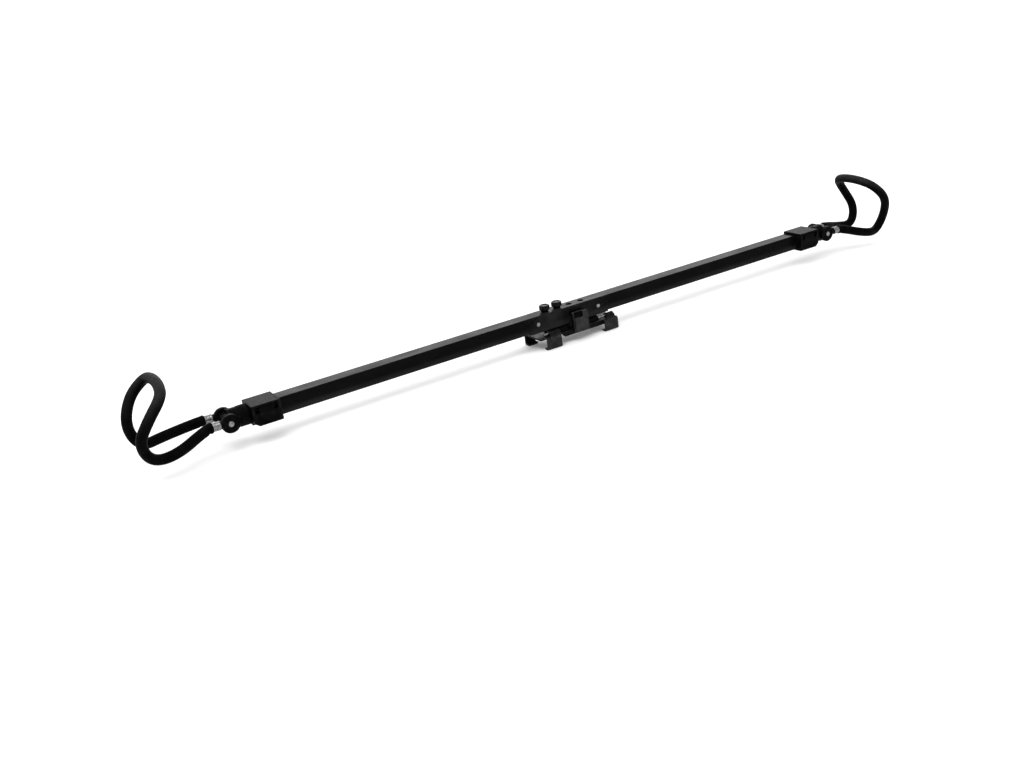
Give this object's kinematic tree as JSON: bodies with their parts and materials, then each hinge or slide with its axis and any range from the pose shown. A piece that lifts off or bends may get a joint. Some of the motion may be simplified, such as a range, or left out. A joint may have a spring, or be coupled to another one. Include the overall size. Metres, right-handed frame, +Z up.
{
  "type": "truck bed cargo bar",
  "caption": "Telescoping square cargo bar with rubber-covered hook loops on swivelling ends, cam lock collars and a sprung hook clamp under the middle.",
  "frame": {"origin": "on the ground plane under the middle of the bar, where the clamp's feet stand", "axes": "+X along the bar to its right end, -Y the front with the levers, +Z up"},
  "size_m": [1.7369, 0.1411, 0.169],
  "materials": {
    "black_powder_coat": "satin black powder coat",
    "black_bracket_paint": "matt black paint on bent plate",
    "black_cast_metal": "semi-gloss black on cast metal",
    "black_nylon": "fine-textured black nylon",
    "knob_plastic": "glossy black moulding",
    "black_rubber": "soft matt black rubber",
    "zinc_steel": "zinc plated",
    "bright_steel": "bright plated"
  },
  "bodies": {
    "bar": {"left_tube": "black_powder_coat", "right_tube": "black_powder_coat", "left_collar": "black_nylon", "right_collar": "black_nylon", "left_lever_pin": "black_cast_metal", "right_lever_pin": "black_cast_metal", "splice_tube": "black_powder_coat", "saddle": "black_powder_coat", "saddle_rivets": "bright_steel", "pedestal": "black_cast_metal", "clamp_base": "black_bracket_paint", "seat_pads": "black_rubber", "base_screws": "zinc_steel", "lever_buffer": "black_rubber", "clamp_spring": "zinc_steel"},
    "thumbscrew_outer": {"thumbscrew_outer": "knob_plastic"},
    "thumbscrew_inner": {"thumbscrew_inner": "knob_plastic"},
    "front_jaws": {"jaw_shaft": "bright_steel", "front_jaw_left": "black_bracket_paint", "front_jaw_right": "black_bracket_paint", "squeeze_lever": "black_bracket_paint"},
    "left_extension": {"left_inner_tube": "black_powder_coat", "left_slide_bush": "black_nylon", "left_end_fitting": "zinc_steel", "left_fitting_pin": "zinc_steel"},
    "left_lock_ring": {"left_lock_ring": "black_nylon"},
    "left_yoke": {"left_swivel_yoke": "black_cast_metal", "left_yoke_screw": "zinc_steel"},
    "left_hook": {"left_hook_eyes": "black_cast_metal", "left_hook_ferrules": "bright_steel", "left_hook_pin": "bright_steel", "left_hook_washers": "black_nylon", "left_hook_rod": "zinc_steel", "left_hook_sleeve": "black_rubber"},
    "left_cam_lever": {"left_cam_lever": "black_nylon"},
    "left_brake_pad": {"left_brake_pad": "black_rubber"},
    "right_extension": {"right_inner_tube": "black_powder_coat", "right_slide_bush": "black_nylon", "right_end_fitting": "zinc_steel", "right_fitting_pin": "zinc_steel"},
    "right_lock_ring": {"right_lock_ring": "black_nylon"},
    "right_yoke": {"right_swivel_yoke": "black_cast_metal", "right_yoke_screw": "zinc_steel"},
    "right_hook": {"right_hook_eyes": "black_cast_metal", "right_hook_ferrules": "bright_steel", "right_hook_pin": "bright_steel", "right_hook_washers": "black_nylon", "right_hook_rod": "zinc_steel", "right_hook_sleeve": "black_rubber"},
    "right_cam_lever": {"right_cam_lever": "black_nylon"},
    "right_brake_pad": {"right_brake_pad": "black_rubber"}
  },
  "joints": [
    {"name": "left_telescope", "type": "slide", "parent": "bar", "child": "left_extension", "axis": [-1, 0, 0], "range_m": [0, 0.2]},
    {"name": "left_lock_ring_turn", "type": "hinge", "parent": "left_extension", "child": "left_lock_ring", "pos_m": [-0.675, 0, 0.054], "axis": [-1, 0, 0], "range_deg": [0, 180]},
    {"name": "left_yoke_swivel", "type": "hinge", "parent": "left_extension", "child": "left_yoke", "pos_m": [-0.69, 0, 0.054], "axis": [1, 0, 0], "range_deg": [-90, 90]},
    {"name": "left_hook_pivot", "type": "hinge", "parent": "left_yoke", "child": "left_hook", "pos_m": [-0.704, 0, 0.054], "axis": [0, 1, 0], "range_deg": [-45, 90]},
    {"name": "left_cam_lever_hinge", "type": "hinge", "parent": "bar", "child": "left_cam_lever", "pos_m": [-0.6405, -0.0283, 0.0663], "axis": [-1, 0, 0], "range_deg": [0, 90]},
    {"name": "left_brake_pad_slide", "type": "slide", "parent": "bar", "child": "left_brake_pad", "axis": [0, -1, 0], "range_m": [0, 0.0003]},
    {"name": "right_telescope", "type": "slide", "parent": "bar", "child": "right_extension", "axis": [1, 0, 0], "range_m": [0, 0.2]},
    {"name": "right_lock_ring_turn", "type": "hinge", "parent": "right_extension", "child": "right_lock_ring", "pos_m": [0.675, 0, 0.054], "axis": [1, 0, 0], "range_deg": [0, 180]},
    {"name": "right_yoke_swivel", "type": "hinge", "parent": "right_extension", "child": "right_yoke", "pos_m": [0.69, 0, 0.054], "axis": [1, 0, 0], "range_deg": [-90, 90]},
    {"name": "right_hook_pivot", "type": "hinge", "parent": "right_yoke", "child": "right_hook", "pos_m": [0.704, 0, 0.054], "axis": [0, -1, 0], "range_deg": [-45, 90]},
    {"name": "right_cam_lever_hinge", "type": "hinge", "parent": "bar", "child": "right_cam_lever", "pos_m": [0.6405, -0.0283, 0.0663], "axis": [-1, 0, 0], "range_deg": [0, 90]},
    {"name": "right_brake_pad_slide", "type": "slide", "parent": "bar", "child": "right_brake_pad", "axis": [0, -1, 0], "range_m": [0, 0.0003]},
    {"name": "front_jaw_swing", "type": "hinge", "parent": "bar", "child": "front_jaws", "pos_m": [0, -0.0195, 0.03], "axis": [-1, 0, 0], "range_deg": [0, 14], "stiffness_Nm_per_rad": 1.2, "springref_deg": -34.38},
    {"name": "thumbscrew_outer_turn", "type": "hinge", "parent": "bar", "child": "thumbscrew_outer", "pos_m": [-0.0448, 0, 0.074], "axis": [0, 0, 1], "range_deg": [0, 360]},
    {"name": "thumbscrew_inner_turn", "type": "hinge", "parent": "bar", "child": "thumbscrew_inner", "pos_m": [-0.0163, 0, 0.074], "axis": [0, 0, 1], "range_deg": [0, 360]}
  ],
  "couplings": [
    {"joint": "left_brake_pad_slide", "follows": "left_cam_lever_hinge", "m_per_rad": 0.00019099},
    {"joint": "right_brake_pad_slide", "follows": "right_cam_lever_hinge", "m_per_rad": 0.00019099}
  ]
}
